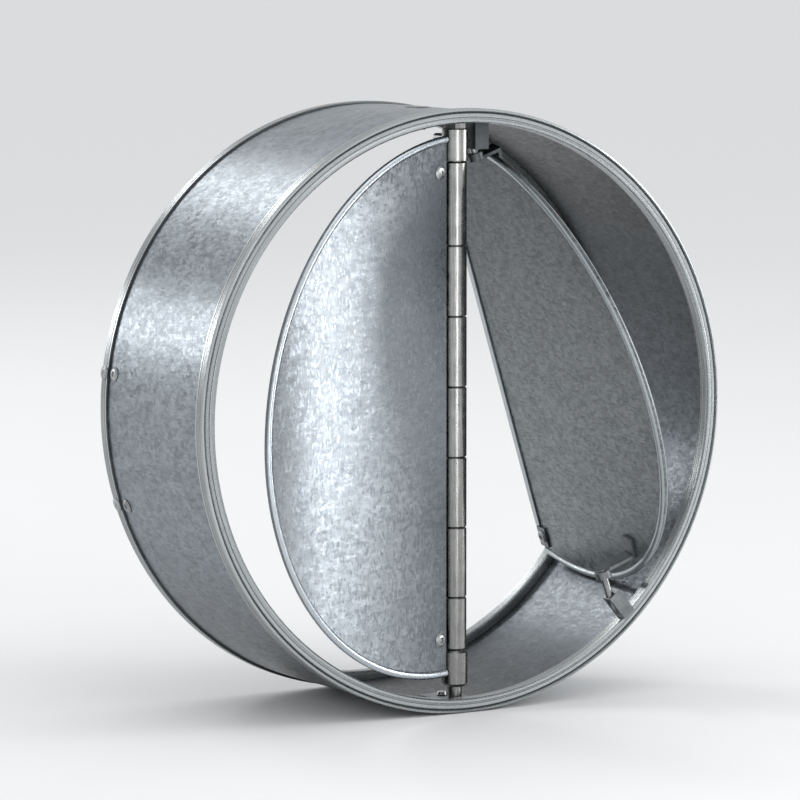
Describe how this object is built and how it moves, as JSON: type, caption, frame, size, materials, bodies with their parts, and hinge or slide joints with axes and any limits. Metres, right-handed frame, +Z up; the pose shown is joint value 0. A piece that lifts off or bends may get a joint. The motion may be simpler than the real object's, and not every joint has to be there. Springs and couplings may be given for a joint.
{
  "type": "backdraft shutter",
  "caption": "Round galvanised duct casing with a knuckled hinge post and two beaded blades that swing to let air out one way.",
  "frame": {"origin": "on the duct axis at the middle of the casing", "axes": "-Y out of the front mouth, +X right, +Z up"},
  "size_m": [0.25, 0.1453, 0.25],
  "materials": {
    "casing_sheet": "satin",
    "rim_steel": "satin",
    "hinge_steel": "satin",
    "blade_sheet": "satin",
    "bracket_steel": "satin",
    "fastener_steel": "semi_gloss"
  },
  "bodies": {
    "casing": {"bottom_collar": "hinge_steel", "casing_band": "casing_sheet", "centre_post": "hinge_steel", "foot_rivet": "fastener_steel", "front_rim": "rim_steel", "knuckle_2": "hinge_steel", "knuckle_4": "hinge_steel", "knuckle_6": "hinge_steel", "lower_pivot_block": "bracket_steel", "lower_pivot_stud": "fastener_steel", "post_foot": "bracket_steel", "post_top_nut": "hinge_steel", "rear_rim": "rim_steel", "rear_rim_rivets": "fastener_steel", "rim_splice_strap": "casing_sheet", "splice_rivets": "fastener_steel", "top_bracket": "bracket_steel", "top_bracket_screws": "fastener_steel", "top_collar": "hinge_steel", "upper_pivot_stud": "fastener_steel"},
    "left_blade_assembly": {"left_blade": "blade_sheet", "left_hinge_leaf": "blade_sheet", "left_blade_rivets": "fastener_steel", "knuckle_1": "hinge_steel", "knuckle_3": "hinge_steel", "knuckle_5": "hinge_steel", "knuckle_7": "hinge_steel"},
    "right_blade_assembly": {"right_blade": "blade_sheet", "right_edge_fold": "blade_sheet", "right_upper_lug": "bracket_steel", "right_lower_lug": "bracket_steel", "corner_tab": "bracket_steel", "corner_tab_rivet": "fastener_steel"}
  },
  "joints": [
    {"name": "left_blade_hinge", "type": "hinge", "parent": "casing", "child": "left_blade_assembly", "pos_m": [0, -0.033, 0], "axis": [0, 0, 1], "range_deg": [-16.5, 58]},
    {"name": "right_blade_pivot", "type": "hinge", "parent": "casing", "child": "right_blade_assembly", "pos_m": [0.0437, -0.03914, 0], "axis": [-0.3052, 0.0576, 0.9506], "range_deg": [0, 93]}
  ]
}
